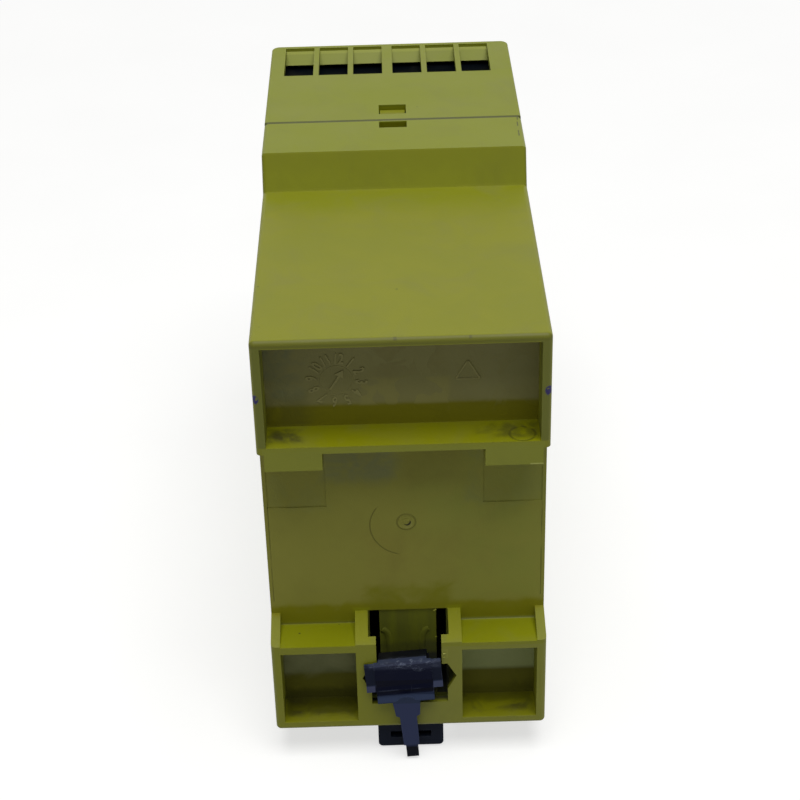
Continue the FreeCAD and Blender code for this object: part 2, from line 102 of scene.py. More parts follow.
class Graph:
    """Short ways to add and join the nodes of one node tree."""

    def __init__(self, tree):
        self.tree = tree

    def node(self, kind, **values):
        made = self.tree.nodes.new(kind)
        for name, value in values.items():
            setattr(made, name, value)
        return made

    def join(self, out, into):
        self.tree.links.new(out, into)

    def feed(self, socket, value):
        if isinstance(value, bpy.types.NodeSocket):
            self.join(value, socket)
        elif value is not None:
            socket.default_value = value

    def math(self, operation, a, b=None, c=None, clamp=False):
        made = self.node("ShaderNodeMath", operation=operation, use_clamp=clamp)
        for socket, value in zip(made.inputs, (a, b, c)):
            self.feed(socket, value)
        return made.outputs[0]

    def vector(self, operation, a, b=None):
        made = self.node("ShaderNodeVectorMath", operation=operation)
        for socket, value in zip(made.inputs, (a, b)):
            self.feed(socket, value)
        return made.outputs["Value" if operation in ("LENGTH", "DOT_PRODUCT") else "Vector"]

    def split(self, vector):
        made = self.node("ShaderNodeSeparateXYZ")
        self.join(vector, made.inputs[0])
        return made.outputs

    def smallest(self, values):
        least = values[0]
        for value in values[1:]:
            least = self.math("MINIMUM", least, value)
        return least

    def largest(self, values):
        most = values[0]
        for value in values[1:]:
            most = self.math("MAXIMUM", most, value)
        return most

    def noise(self, scale, detail=2.0, roughness=0.5, vector=None, distortion=0.0):
        made = self.node("ShaderNodeTexNoise")
        self.feed(made.inputs["Vector"], vector)
        self.feed(made.inputs["Scale"], scale)
        self.feed(made.inputs["Detail"], detail)
        self.feed(made.inputs["Roughness"], roughness)
        self.feed(made.inputs["Distortion"], distortion)
        return made.outputs["Fac"]

    def window(self, value, low, high):
        made = self.node("ShaderNodeMapRange", interpolation_type="SMOOTHSTEP")
        self.feed(made.inputs["Value"], value)
        self.feed(made.inputs["From Min"], low)
        self.feed(made.inputs["From Max"], high)
        return made.outputs[0]

    def blend(self, fac, a, b):
        made = self.node("ShaderNodeMix", data_type="RGBA")
        self.feed(made.inputs[0], fac)
        self.feed(made.inputs[6], a)
        self.feed(made.inputs[7], b)
        return made.outputs[2]

    def place(self, stretch=(1, 1, 1)):
        coords = self.node("ShaderNodeTexCoord")
        if tuple(stretch) == (1, 1, 1):
            return coords.outputs["Object"]
        made = self.node("ShaderNodeMapping")
        self.join(coords.outputs["Object"], made.inputs["Vector"])
        made.inputs["Scale"].default_value = stretch
        return made.outputs[0]


def effect(name, inputs, outputs):
    """A named node group with its sockets, ready to be filled in."""
    tree = bpy.data.node_groups.new(name, "ShaderNodeTree")
    for label, value in inputs:
        kind = "NodeSocketVector" if isinstance(value, tuple) else "NodeSocketFloat"
        socket = tree.interface.new_socket(label, in_out="INPUT", socket_type=kind)
        socket.default_value = value
    for label in outputs:
        tree.interface.new_socket(label, in_out="OUTPUT", socket_type="NodeSocketFloat")
    graph = Graph(tree)
    return graph, graph.node("NodeGroupInput").outputs, graph.node("NodeGroupOutput").inputs


def use(graph, group, **values):
    made = graph.node("ShaderNodeGroup", node_tree=group)
    for name, value in values.items():
        graph.feed(made.inputs[name.replace("_", " ")], value)
    return made.outputs


def worn_edges():
    """Mask that is 1 along outer edges, broken up by noise."""
    g, given, out = effect("worn edges", [("Width", 0.0003), ("Amount", 0.3), ("Patches", 300.0)],
                           ["Mask"])
    rounded = g.node("ShaderNodeBevel", samples=4)
    g.join(given["Width"], rounded.inputs["Radius"])
    real = g.node("ShaderNodeNewGeometry")
    alike = g.vector("DOT_PRODUCT", rounded.outputs[0], real.outputs["True Normal"])
    edge = g.window(g.math("SUBTRACT", 1.0, alike), 0.02, 0.22)
    broken = g.window(g.noise(given["Patches"], 4.0, vector=g.place()), 0.45, 0.7)
    worn = g.math("MULTIPLY", edge, broken)
    g.join(g.math("MULTIPLY", worn, given["Amount"], clamp=True), out["Mask"])
    return g.tree


def moulded_grain():
    """Fine even grain of a spark-eroded mould, with a slow waviness under it."""
    g, given, out = effect("moulded grain", [("Grain", 5200.0), ("Wave", 90.0), ("Wave Share", 0.35)],
                           ["Height", "Tone"])
    fine = g.noise(given["Grain"], 2.0, 0.6, g.place())
    slow = g.noise(given["Wave"], 3.0, 0.55, g.place(), 0.3)
    g.join(g.math("ADD", fine, g.math("MULTIPLY", slow, given["Wave Share"])), out["Height"])
    g.join(slow, out["Tone"])
    return g.tree


def handling_marks():
    """Smudges, dust in upward faces and a few dark specks, as masks."""
    g, given, out = effect("handling marks", [("Size", 120.0), ("Smudge", 0.1), ("Dust", 0.1),
                                              ("Specks", 0.5)], ["Smudge", "Dust", "Specks"])
    where = g.place()
    cloudy = g.noise(given["Size"], 5.0, 0.6, where, 0.6)
    g.join(g.math("MULTIPLY", g.window(cloudy, 0.45, 0.8), given["Smudge"], clamp=True), out["Smudge"])
    facing = g.node("ShaderNodeNewGeometry")
    upward = g.window(g.split(facing.outputs["Normal"])["Z"], 0.3, 1.0)
    flecks = g.window(g.noise(2600.0, 3.0, 0.7, where), 0.58, 0.7)
    lie = g.math("ADD", g.math("MULTIPLY", flecks, 0.6), g.window(cloudy, 0.45, 0.8))
    g.join(g.math("MULTIPLY", g.math("MULTIPLY", upward, lie), given["Dust"], clamp=True), out["Dust"])
    cells = g.node("ShaderNodeTexVoronoi")
    g.join(where, cells.inputs["Vector"])
    cells.inputs["Scale"].default_value = 190.0
    dots = g.math("SUBTRACT", 1.0, g.window(cells.outputs["Distance"], 0.02, 0.05))
    rare = g.window(g.split(cells.outputs["Color"])["X"], 0.8, 0.84)
    specks = g.math("MULTIPLY", dots, rare)
    g.join(g.math("MULTIPLY", specks, given["Specks"], clamp=True), out["Specks"])
    return g.tree


def fine_scratches():
    """Thin scratches that run mostly two ways."""
    g, given, out = effect("fine scratches", [("Amount", 0.3)], ["Mask"])
    lines = g.noise(60.0, 6.0, 0.65, g.place((4.0, 2.0, 60.0)), 0.8)
    across = g.noise(60.0, 6.0, 0.65, g.place((60.0, 3.0, 5.0)), 0.8)
    both = g.math("MAXIMUM", g.window(lines, 0.68, 0.71), g.window(across, 0.69, 0.72))
    g.join(g.math("MULTIPLY", both, given["Amount"], clamp=True), out["Mask"])
    return g.tree


def inside_zone():
    """1 within a box of the object, fading over Soft at its sides; Fold 1 mirrors it left and right,
    Wander pushes its sides in and out."""
    g, given, out = effect("inside zone", [("Low", (0.0, 0.0, 0.0)), ("High", (0.0, 0.0, 0.0)),
                                           ("Soft", 0.0003), ("Fold", 0.0), ("Wander", 0.0)], ["Mask"])
    here = g.split(g.place())
    low, high = g.split(given["Low"]), g.split(given["High"])
    folded = g.math("SUBTRACT", g.math("ABSOLUTE", here["X"]), here["X"])
    x = g.math("MULTIPLY_ADD", folded, given["Fold"], here["X"])
    depths = []
    for axis, at in (("X", x), ("Y", here["Y"]), ("Z", here["Z"])):
        depths.append(g.math("SUBTRACT", at, low[axis]))
        depths.append(g.math("SUBTRACT", high[axis], at))
    edge = g.math("MULTIPLY", given["Soft"], -1.0)
    depth = g.math("MULTIPLY_ADD", given["Wander"], given["Soft"], g.smallest(depths))
    g.join(g.window(depth, edge, given["Soft"]), out["Mask"])
    return g.tree


def ring_line():
    """A thin ring drawn on a face, and the disc that it holds; Flatten drops the axis it faces."""
    g, given, out = effect("ring line", [("Centre", (0.0, 0.0, 0.0)), ("Flatten", (1.0, 0.0, 1.0)),
                                         ("Radius", 0.001), ("Width", 0.0001)], ["Line", "Disc"])
    away = g.vector("LENGTH", g.vector("MULTIPLY", g.vector("SUBTRACT", g.place(), given["Centre"]),
                                       given["Flatten"]))
    off = g.math("SUBTRACT", away, given["Radius"])
    edge = g.math("DIVIDE", g.math("ABSOLUTE", off), given["Width"])
    g.join(g.math("SUBTRACT", 1.0, g.window(edge, 0.3, 1.0)), out["Line"])
    beyond = g.window(g.math("DIVIDE", off, given["Width"]), -0.5, 0.5)
    g.join(g.math("SUBTRACT", 1.0, beyond), out["Disc"])
    return g.tree


WORN = worn_edges()
GRAIN = moulded_grain()
MARKS = handling_marks()
SCRATCHES = fine_scratches()
ZONE = inside_zone()
RING = ring_line()


def zone(g, low, high, soft=0.2, fold=0.0, wander=None):
    """Mask of a box given by two corners in millimetres."""
    low, high = (tuple(v * MM for v in corner) for corner in (low, high))
    return use(g, ZONE, Low=low, High=high, Soft=soft * MM, Fold=fold, Wander=wander)["Mask"]


def ring(g, centre, radius, width=0.12, flatten=(1, 0, 1)):
    return use(g, RING, Centre=tuple(v * MM for v in centre), Flatten=flatten, Radius=radius * MM,
               Width=width * MM)


# Finishes

def surface(name, roughness=0.5, metallic=0.0, **shader_values):
    material = bpy.data.materials.new(name)
    material.use_nodes = True
    tree = material.node_tree
    tree.nodes.clear()
    graph = Graph(tree)
    shader = graph.node("ShaderNodeBsdfPrincipled")
    graph.join(shader.outputs[0], graph.node("ShaderNodeOutputMaterial").inputs[0])
    shader.inputs["Roughness"].default_value = roughness
    shader.inputs["Metallic"].default_value = metallic
    for label, value in shader_values.items():
        shader.inputs[label.replace("_", " ")].default_value = value
    return material, graph, shader


def raise_surface(graph, shader, height, depth, strength=1.0):
    bump = graph.node("ShaderNodeBump")
    bump.inputs["Strength"].default_value = strength
    bump.inputs["Distance"].default_value = depth
    graph.join(height, bump.inputs["Height"])
    graph.join(bump.outputs[0], shader.inputs["Normal"])


def moulded_plastic(name, colour, deep, worn, roughness, grain=5200.0, depth=0.00002, wear=0.2,
                    width=0.0003, smudge=0.1, dust=0.1, specks=0.5, scratches=0.1, tint=None,
                    **shader_values):
    """Moulded plastic; tint adds this moulding's own marks: it takes the graph and the tone, and
    returns the new tone, extra roughness and extra height."""
    material, g, shader = surface(name, roughness, **shader_values)
    texture = use(g, GRAIN, Grain=grain)
    marks = use(g, MARKS, Smudge=smudge, Dust=dust, Specks=specks)
    edges = use(g, WORN, Width=width, Amount=wear)
    lines = use(g, SCRATCHES, Amount=scratches)
    tone = g.blend(g.window(texture["Tone"], 0.3, 0.7), deep, colour)
    dull, rise = None, None
    if tint:
        tone, dull, rise = tint(g, tone)
    tone = g.blend(lines["Mask"], tone, worn)
    tone = g.blend(edges["Mask"], tone, worn)
    tone = g.blend(marks["Smudge"], tone, GRIME)
    tone = g.blend(marks["Dust"], tone, DUST)
    tone = g.blend(marks["Specks"], tone, GRIME)
    g.join(tone, shader.inputs["Base Color"])
    rough = g.math("MULTIPLY_ADD", texture["Tone"], 0.16, roughness - 0.08)
    rough = g.math("MULTIPLY_ADD", marks["Dust"], 0.4, rough)
    if dull is not None:
        rough = g.math("MULTIPLY_ADD", dull, 0.25, rough)
    g.join(rough, shader.inputs["Roughness"])
    height = texture["Height"]
    if rise is not None:
        height = g.math("ADD", height, rise)
    raise_surface(g, shader, height, depth)
    return material


def stained(g, tone, patches, noises):
    """Lay patches of other tones on a moulding, one after another: stains, and painted shade, bounce
    light and highlights. A patch: two corners and a softness in mm, fold, share, colour, and the name
    of the noise that breaks it up. The sides of a soft patch wander."""
    drift = g.math("MULTIPLY_ADD", g.noise(190.0, 4.0, 0.6, g.place(), 0.8), 3.0, -1.5)
    for low, high, soft, fold, share, colour, patchy in patches:
        mask = g.math("MULTIPLY", zone(g, low, high, soft, fold, drift if soft > 0.6 else None), share)
        if patchy:
            mask = g.math("MULTIPLY", mask, noises[patchy])
        tone = g.blend(mask, tone, colour)
    return tone


PARTING = ((-24, 60.0, -44), (24, 60.82, 44), 0.08, 0, 0.9, srgb(60, 64, 4), None)
REAR_PATCHES = [
    # slanted facet painted darker as shade, the top below it, the step above it, rim and hooks
    ((-24, 45.1, 36.9), (24, 47.65, 44), 0.15, 0, 1.0, OLIVE_FACET_SHADE, None),
    ((-24, 38, 36), (24, 44.9, 39), 3.0, 0, 0.8, srgb(125, 130, 8), None),
    ((-24, 47.7, 43), (24, 60.3, 44), 0.1, 0, 0.9, OLIVE_FRONT, None),
    # painted shade: darker band over the rounded rear edge of the rim top, dimming its highlight
    ((-24, -6.5, 36.3), (24, -5.75, 37.7), 0.15, 0, 0.9, srgb(98, 100, 24), None),
    ((20.8, -6.6, 18.9), (22.7, -6.1, 36.4), 0.15, 1, 0.9, OLIVE_RIM, None),
    ((20.8, -6.4, 18.9), (22.0, -3.0, 36.4), 0.3, 1, 0.9, OLIVE_RIM, None),
    ((-21.6, -6.5, 14.4), (21.6, -6.2, 18.7), 0.15, 0, 1.0, OLIVE_HOOK, None),
    # the seat is rubbed dull: green to the right, brown in the middle, grey under the hooks
    ((-22.6, -0.5, -17.7), (22.6, 0.5, 17.7), 0.2, 0, 0.95, OLIVE_SEAT, None),
    ((3, -0.5, -14), (22, 0.5, 12), 6.0, 0, 0.6, srgb(136, 143, 58), None),
    ((-6, -0.5, -12), (8, 0.5, -3), 4.0, 0, 0.5, srgb(138, 129, 55), None),
    ((-12.6, -0.5, 9.0), (-1.5, 0.5, 21), 2.2, 0, 0.75, srgb(118, 123, 88), None),
    ((0, -0.5, 8), (9, 0.5, 21), 2.5, 0, 0.6, srgb(131, 125, 50), None),
    ((9.8, -0.5, 4), (12.4, 0.5, 17), 1.0, 0, 0.5, srgb(126, 132, 76), "cloud"),
    ((12.6, -0.5, 3.6), (21.8, 0.5, 17.4), 1.5, 1, 0.5, srgb(136, 140, 72), "cloud"),
    # painted shade and painted yellow bounce light: darker, saturated band on the seat just above the
    # foot
    ((-24, -0.6, -24), (24, 0.6, -16.2), 0.7, 0, 1.0, srgb(127, 125, 0), None),
    ((-6.4, -0.6, -24), (7.0, 0.6, -12.8), 1.4, 0, 0.9, srgb(122, 121, 1), None),
    # dried film on the floor of the upper pocket, with a pale tide mark and darker ends; the band under
    # the film, by the ledge, is painted saturated olive as yellow bounce light
    ((-21.3, -0.5, 18.6), (21.3, 0.5, 37), 0.1, 0, 1.0, POCKET_BOUNCE_TINT, None),
    ((-21.3, -0.5, 22.5), (21.3, 0.5, 37), 0.5, 0, 1.0, POCKET_FILM, None),
    ((-21.4, -0.5, 17), (-15, 0.5, 24), 2.0, 0, 0.6, srgb(90, 88, 26), None),
    ((-21.4, -0.5, 24), (-15.5, 0.5, 34.6), 1.8, 0, 0.75, srgb(118, 124, 94), "cloud"),
    ((-6.4, -0.5, 22.4), (7.4, 0.5, 27.0), 0.5, 0, 0.8, srgb(151, 146, 86), "stain"),
    ((9, -0.5, 23), (20, 0.5, 33), 2.5, 0, 0.4, srgb(146, 143, 98), "stain"),
    ((-4, -0.5, 27.5), (6, 0.5, 33), 2.0, 0, 0.4, srgb(122, 114, 64), "stain"),
    # painted highlight: pale tops on the dial numbers and on the triangle sign
    ((-15.2, -0.5, 21.8), (-4.8, -0.06, 32.2), 0.03, 0, 0.8, srgb(162, 157, 104), None),
    ((7, -0.5, 25), (13.5, -0.06, 31.5), 0.03, 0, 0.8, srgb(158, 153, 100), None),
    # the foot is paler to the right of the latch
    ((-0.5, -6.5, -37.7), (22.6, -6.1, -20.6), 0.1, 0, 0.9, srgb(129, 131, 46), None),
    # foot pockets: film above, cleaner below
    ((8.6, -0.5, -36.2), (21.3, 0.5, -21), 0.1, 1, 0.9, srgb(100, 98, 20), None),
    ((8.6, -0.5, -30.5), (21.3, 0.5, -20), 0.6, 1, 1.0, FOOT_FILM, None),
    ((8.6, -0.5, -30.5), (21.3, 0.5, -20), 0.6, 0, 0.95, srgb(168, 177, 120), None),
    ((-20.5, -0.5, -30), (-10, 0.5, -22), 1.6, 0, 0.8, srgb(154, 156, 112), None),
    # faces that look up out of the pockets are painted saturated olive as yellow bounce light, the
    # inside of the snap window darker as painted shade, and loose dirt lies at the ledge ends
    ((-21.2, -6.2, 18.2), (21.2, -0.1, 19.0), 0.2, 0, 1.0, OLIVE_BOUNCE_TINT, None),
    ((8.6, -6.2, -20.4), (21.2, -0.1, -19.5), 0.2, 1, 1.0, srgb(133, 137, 1), None),
    ((8.6, -6.2, -36.4), (21.2, -0.1, -35.5), 0.2, 1, 1.0, srgb(124, 125, 4), None),
    ((6.3, -6.0, -19.7), (8.9, 0.2, -17.0), 0.3, 1, 1.0, OLIVE_BOUNCE_TINT, None),
    ((-2.6, 50, 40), (2.6, 59.9, 43.3), 0.1, 0, 1.0, srgb(104, 106, 0), None),
    ((-20.8, -4.8, 16.8), (-15.5, -1.0, 20.6), 0.9, 0, 0.8, GRIME, "cloud"),
    ((11, -4.8, 16.8), (20.8, -1.0, 20.6), 0.9, 0, 0.55, GRIME, "cloud"),
    # darker, more saturated olive at the bottom of the foot pockets
    ((8.0, -2.4, -36.6), (20.8, 1.5, -34), 0.9, 1, 0.7, srgb(84, 84, 8), None),
    ((-20.8, -4.2, -36.6), (-8, 1.5, -34), 0.9, 0, 0.8, srgb(68, 68, 2), None),
    ((10, -4.6, -38), (20, -1.0, -34), 1.2, 1, 0.7, GRIME, "cloud"),
    # floor of the latch channel painted darker olive as the shade of its recess, with grease streaks;
    # painted shade behind the latch, a painted shadow beside it, and near-black painted shade inside
    # the slots
    ((-6.8, -0.2, -40), (6.8, 1.6, -17.9), 0.4, 0, 1.0, OLIVE_PANEL_SHADE, None),
    ((-6.8, -0.2, -40), (6.8, 1.6, -17.9), 0.7, 0, 0.5, srgb(76, 80, 22), "streaks"),
    ((-6.9, -0.4, -36), (6.9, 0.7, -24.8), 0.9, 0, 0.7, srgb(58, 60, 24), None),
    ((3.2, -5.6, -35.6), (7.5, 0.7, -27), 0.5, 1, 0.85, srgb(24, 27, 26), None),
    ((4.5, 0.4, -37.4), (6.6, 14, -17), 0.1, 1, 0.95, SLOT_SHADE, None),
    ((-6.6, 3.0, -37.4), (6.6, 14, -17), 0.1, 0, 0.95, SLOT_SHADE, None),
    # nicks, burrs and specks
    ((21.7, 58.9, 43), (21.86, 60.3, 44), 0.08, 0, 0.9, GRIME, None),
    ((21.56, 56.2, 43), (21.74, 58.0, 44), 0.08, 0, 0.9, GRIME, "nicks"),
    ((21.5, 51.8, 43), (21.7, 54.3, 44), 0.08, 0, 0.9, GRIME, "nicks"),
    ((-1.1, -6.3, 37.1), (-0.6, -5.7, 37.7), 0.15, 0, 0.5, GRIME, None),
    ((10.1, -6.3, 37.1), (10.5, -5.8, 37.7), 0.15, 0, 0.5, GRIME, None),
    ((-18.02, -2.68, -20.2), (-17.74, -2.38, -19.8), 0.07, 0, 0.9, GRIME, None),
    # painted highlight: a pale line along the lower edge of the right hook
    ((19.4, -6.5, 14.4), (21.5, -6.0, 14.82), 0.08, 0, 0.9, srgb(178, 182, 96), None),
    ((4.0, -0.6, -18.3), (5.0, -0.03, -17.3), 0.05, 0, 1.0, srgb(168, 170, 66), None),
    ((5.2, -6.7, -23), (6.4, -6.32, -21.2), 0.04, 0, 1.0, srgb(168, 170, 76), None),
    PARTING,
]


def rear_marks(g, tone):
    """Stains, mould lines and ink spots of the rear housing, and the painted shade, bounce light and
    highlights among its patches.
    """
    where = g.place()
    cloud = g.noise(170.0, 4.0, 0.6, where, 0.5)
    blotch = g.noise(210.0, 2.0, 0.5, where, 1.2)
    noises = {"cloud": g.window(cloud, 0.38, 0.58), "stain": g.window(blotch, 0.45, 0.48),
              "streaks": g.window(g.noise(55.0, 3.0, 0.5, g.place((9.0, 1.0, 1.4))), 0.4, 0.65),
              "nicks": g.window(g.noise(1400.0, 2.0, 0.6, where), 0.34, 0.44)}
    tone = stained(g, tone, REAR_PATCHES, noises)

    # an insert round the gate mark, witness lines, a pin on the ledge
    arc = g.math("MULTIPLY", ring(g, (0.15, 0, -0.6), 5.85, 0.16)["Line"],
                 zone(g, (-8, -0.3, -7.2), (-1.4, 0.3, 2.8), 0.6))
    gate_line = g.math("MULTIPLY", ring(g, (0.15, 0, 0), 1.5, 0.22)["Line"],
                       zone(g, (-3, -0.3, -3), (3, 0.3, 3)))
    pin = g.math("MULTIPLY", ring(g, (18.3, -4.0, 0), 2.0, 0.25, (1, 1, 0))["Line"],
                 zone(g, (15, -6.2, 18.2), (21, -0.2, 19.2)))
    witness = zone(g, (21.84, -0.3, -15.2), (21.96, 0.3, 3.6), 0.07, 1.0)
    lines = g.largest([arc, g.math("MULTIPLY", gate_line, 0.7),
                       g.math("MULTIPLY", g.largest([pin, witness]), noises["cloud"])])
    tone = g.blend(g.math("MULTIPLY", lines, 0.6), tone, LINE_DARK)
    # painted highlight on the crater's lower rim and painted shadow inside the crater of the torn gate
    # stub
    lip_highlight = g.math("SUBTRACT", ring(g, (0.25, 0, -0.3), 0.9, 0.12)["Disc"],
                 ring(g, (0.15, 0, 0.0), 0.85, 0.12)["Disc"], clamp=True)
    pit_shadow = g.math("SUBTRACT", ring(g, (0.3, 0, -0.1), 0.6, 0.12)["Disc"],
                 ring(g, (0.1, 0, 0.16), 0.6, 0.12)["Disc"], clamp=True)
    seat_level = zone(g, (-3, -0.4, -3), (3, 0.3, 3))
    lip_highlight, pit_shadow = g.math("MULTIPLY", lip_highlight, seat_level), g.math("MULTIPLY", pit_shadow, seat_level)
    tone = g.blend(g.math("MULTIPLY", lip_highlight, 0.8), tone, srgb(150, 148, 76))
    tone = g.blend(g.math("MULTIPLY", pit_shadow, 0.95), tone, srgb(20, 20, 8))

    # a felt-tip spot on each side wall of the rim
    ink = g.largest([ring(g, (-22.2, -6.4, 27.55), 0.62, 0.3, (1, 0.6, 0.8))["Disc"],
                     ring(g, (22.1, -6.4, 27.75), 0.66, 0.3, (1, 0.6, 0.8))["Disc"]])
    tone = g.blend(g.math("MULTIPLY", ink, noises["nicks"]), tone, INK)

    # the film is dull and stands a little proud, the drawn lines are sunk
    film = g.largest([zone(g, (-21.3, -0.5, 18.6), (21.3, 0.5, 37)),
                      zone(g, (8.6, -0.5, -36.2), (21.3, 0.5, -21), 0.2, 1.0)])
    rubbed = zone(g, (-22.6, -0.5, -38), (22.6, 1.6, 17.7))
    rise = g.math("MULTIPLY_ADD", g.math("MULTIPLY", film, noises["stain"]), 0.7,
                  g.math("MULTIPLY", lines, -3.0))
    return tone, g.largest([film, rubbed]), rise


def front_marks(g, tone):
    """The front moulding is dull on its nose; the upright walls of its windows are painted darker as
    shade, the snap nub takes painted bounce light, and the end walls of the wire windows are painted
    lighter as a highlight.
    """
    cloud = g.noise(140.0, 4.0, 0.6, g.place(), 0.5)
    real = g.node("ShaderNodeNewGeometry")
    # painted shade on the upright walls of the windows
    upright = g.window(g.math("ABSOLUTE", g.split(real.outputs["Normal"])["Z"]), 0.6, 0.3)
    windows = g.math("MULTIPLY", zone(g, (-21, 56, 40), (21, 96.2, 43.35), 0.1), upright)
    tone = g.blend(g.math("MULTIPLY", windows, 0.6), tone, srgb(92, 98, 14))
    # painted yellow bounce light on the snap nub
    nub = zone(g, (-2.6, 62, 40), (2.6, 68, 43.2), 0.1)
    tone = g.blend(g.math("MULTIPLY", nub, 0.5), tone, OLIVE_BOUNCE_TINT)
    # painted highlight on the end walls of the wire windows
    ends = zone(g, (-21, 95.3, 38), (21, 96.2, 43.3), 0.1)
    tone = g.blend(g.math("MULTIPLY", ends, 0.6), tone, srgb(148, 153, 44))
    nose = zone(g, (-23, 96.9, -44), (23, 115, 44), 0.3)
    rubbed = g.math("MULTIPLY", nose, g.window(cloud, 0.45, 0.7))
    tone = g.blend(g.math("MULTIPLY", rubbed, 0.25), tone, OLIVE_WORN)
    return stained(g, tone, [PARTING], {}), rubbed, None


LATCH_PATCHES = [
    # painted shade: the front of the head and its face are darker, as a face leaning away from the lamp
    ((-9, -7.15, -29), (8, -6.8, -23.0), 0.05, 0, 1.0, srgb(22, 28, 46), None),
    ((-5.75, -7.36, -31), (3.95, -7.2, -23), 0.03, 0, 1.0, LATCH_FACE_SHADE, None),
    # painted light: the ears' sloped feet and the flange are lighter, as faces tilted up to the lamp
    ((-8, -7.8, -29.4), (-5.65, -7.2, -27), 0.04, 0, 1.0, srgb(62, 66, 90), None),
    ((3.85, -7.8, -29.2), (6.4, -7.2, -26.4), 0.04, 0, 1.0, srgb(62, 68, 92), None),
    ((-7, -9, -31.4), (6, -7.45, -29.5), 0.05, 0, 1.0, srgb(48, 58, 82), None),
    # painted shade: darkest band across the face between the ears
    ((-5.68, -7.8, -28.95), (3.88, -7.2, -26.6), 0.03, 0, 1.0, srgb(3, 6, 25), None),
    # painted shadow: the claw's top behind the head
    ((-9, -5.7, -27.5), (8, -0.4, -20.0), 0.25, 0, 1.0, srgb(14, 16, 24), None),
    # painted light on the tongue and neck
    ((-4.4, -9, -42), (4.6, -5.2, -31.0), 0.15, 0, 1.0, LATCH_TONGUE_LIT, None),
    # painted shade: the tongue's tip and the bar under the foot are near-black
    ((-7, -9, -44), (7, -5.2, -40.7), 0.2, 0, 1.0, srgb(14, 16, 26), None),
    ((-7, -4.9, -44), (7, -1.5, -36.5), 0.2, 0, 1.0, srgb(26, 32, 46), None),
    ((-6.6, -7.5, -24.2), (5.6, -5.6, -21.8), 0.4, 0, 0.35, srgb(74, 80, 104), None),
    ((-7, -7.5, -24.3), (6, -5, -21.8), 0.4, 0, 0.3, LATCH_WORN, "scrapes"),
    ((-3.5, -7.6, -24.6), (3.4, -5.4, -21.8), 0.6, 0, 0.75, LATCH_WORN, "scrapes"),
]


def latch_marks(g, tone):
    """The latch is painted dark as shade on its face, claw, tip and bar, painted lighter as light on
    its ear feet, flange and tongue, and scraped pale along its top edge.
    """
    scrapes = g.window(g.noise(900.0, 5.0, 0.75, g.place((1.0, 1.0, 2.2))), 0.53, 0.66)
    top = g.math("MULTIPLY", zone(g, (-7, -7.5, -24.3), (6, -5, -21.8), 0.5), scrapes)
    return stained(g, tone, LATCH_PATCHES, {"scrapes": scrapes}), top, g.math("MULTIPLY", top, -1.5)


def plated_metal(name, colour, roughness=0.35, brushed=(40, 400, 400)):
    material, g, shader = surface(name, roughness, 1.0)
    streaks = g.noise(6.0, 4.0, 0.6, g.place(brushed))
    edges = use(g, WORN, Width=0.0002, Amount=0.6)
    dull = tuple(c * 0.7 for c in colour[:3]) + (1.0,)
    tone = g.blend(g.window(streaks, 0.3, 0.7), dull, colour)
    tone = g.blend(edges["Mask"], tone, tuple(min(1, c * 1.3) for c in colour[:3]) + (1.0,))
    g.join(tone, shader.inputs["Base Color"])
    g.join(g.math("MULTIPLY_ADD", streaks, 0.25, roughness - 0.1), shader.inputs["Roughness"])
    raise_surface(g, shader, streaks, 0.00001)
    return material


def inner_part(name, colour, roughness=0.45, metallic=0.0, fleck=0.25, size=900.0):
    material, g, shader = surface(name, roughness, metallic)
    cloudy = g.noise(size, 4.0, 0.6, g.place())
    edges = use(g, WORN, Width=0.0002, Amount=0.35)
    dark = tuple(c * (1 - fleck) for c in colour[:3]) + (1.0,)
    pale = tuple(min(1, c * 1.4 + 0.03) for c in colour[:3]) + (1.0,)
    tone = g.blend(g.window(cloudy, 0.3, 0.7), dark, colour)
    g.join(g.blend(edges["Mask"], tone, pale), shader.inputs["Base Color"])
    g.join(g.math("MULTIPLY_ADD", cloudy, 0.2, roughness - 0.1), shader.inputs["Roughness"])
    raise_surface(g, shader, cloudy, 0.00002)
    return material


def clear_guide(name):
    material, g, shader = surface(name, 0.12, Transmission_Weight=0.9, IOR=1.49)
    cloudy = g.noise(700.0, 3.0, 0.5, g.place())
    g.join(g.blend(cloudy, srgb(214, 222, 222), srgb(240, 244, 244)), shader.inputs["Base Color"])
    g.join(g.math("MULTIPLY_ADD", cloudy, 0.2, 0.05), shader.inputs["Roughness"])
    return material


def printed_board(name):
    material, g, shader = surface(name, 0.35)
    tracks = g.node("ShaderNodeTexBrick", offset=0.5)
    g.join(g.place(), tracks.inputs["Vector"])
    tracks.inputs["Scale"].default_value = 260.0
    tracks.inputs["Color1"].default_value = srgb(26, 92, 48)
    tracks.inputs["Color2"].default_value = srgb(34, 108, 58)
    tracks.inputs["Mortar"].default_value = srgb(18, 70, 36)
    g.join(tracks.outputs["Color"], shader.inputs["Base Color"])
    g.join(g.math("MULTIPLY_ADD", tracks.outputs["Fac"], 0.2, 0.3), shader.inputs["Roughness"])
    raise_surface(g, shader, tracks.outputs["Fac"], 0.00003)
    return material


